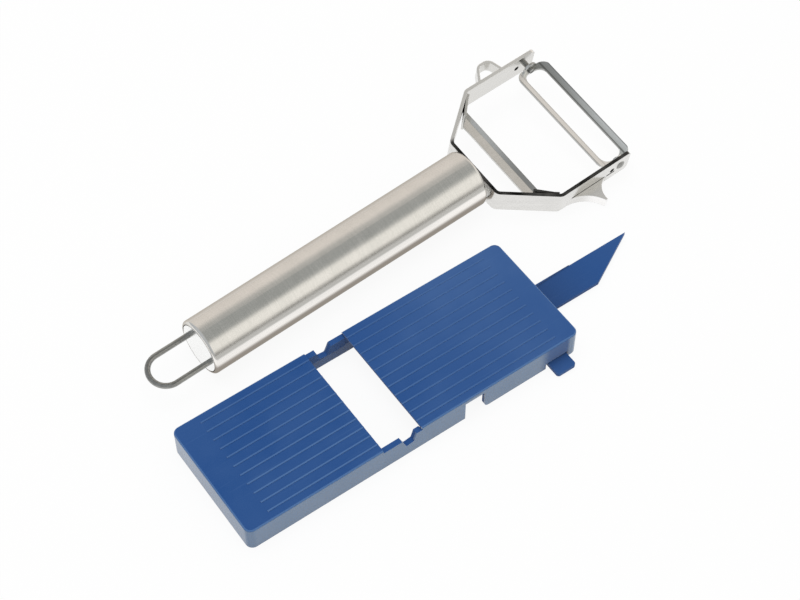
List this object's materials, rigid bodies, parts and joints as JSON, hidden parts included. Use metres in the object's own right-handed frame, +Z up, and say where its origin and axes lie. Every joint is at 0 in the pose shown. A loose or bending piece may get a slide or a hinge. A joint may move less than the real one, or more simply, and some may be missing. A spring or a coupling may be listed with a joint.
{
  "type": "mandoline slicer",
  "caption": "Small mandoline slicer: a ribbed plastic deck with an open slot, a pull-out tongue and a latch, with its removable steel swivel-blade peeler lying beside it.",
  "frame": {"origin": "on the deck's foot, in the middle of the end wall of the short plate", "axes": "+X along the deck to the long plate, +Z up, -Y towards the side with the latch"},
  "size_m": [0.214, 0.1244, 0.0232],
  "materials": {
    "blue_plastic": "semi-gloss moulded",
    "brushed_steel": "brushed along the handle",
    "bright_steel": "bright rolled strip",
    "blade_steel": "ground"
  },
  "bodies": {
    "deck": {"slicing_deck": "blue_plastic"},
    "tongue": {"thickness_tongue": "blue_plastic"},
    "latch_slide": {"latch": "blue_plastic"},
    "blade_unit": {"handle_tube": "brushed_steel", "front_cap": "bright_steel", "rear_cap": "bright_steel", "hanging_loop": "bright_steel", "head_frame": "bright_steel", "frame_rivet": "bright_steel", "cross_bar": "bright_steel", "pivot_pin_near": "bright_steel", "pivot_pin_far": "bright_steel"},
    "blade": {"swivel_blade": "blade_steel"}
  },
  "joints": [
    {"name": "tongue_slide", "type": "slide", "parent": "deck", "child": "tongue", "axis": [1, 0, 0], "range_m": [-0.038, 0.004]},
    {"name": "latch_pull", "type": "slide", "parent": "deck", "child": "latch_slide", "axis": [0, -1, 0], "range_m": [0, 0.004]},
    {"name": "unit_lift", "type": "slide", "parent": "deck", "child": "blade_unit", "axis": [0, 0, 1], "range_m": [0, 0.06]},
    {"name": "blade_swivel", "type": "hinge", "parent": "blade_unit", "child": "blade", "pos_m": [0.20406, 0.05895, 0.0116], "axis": [-0.0569, 0.9864, 0.154], "range_deg": [-30, 30]}
  ]
}
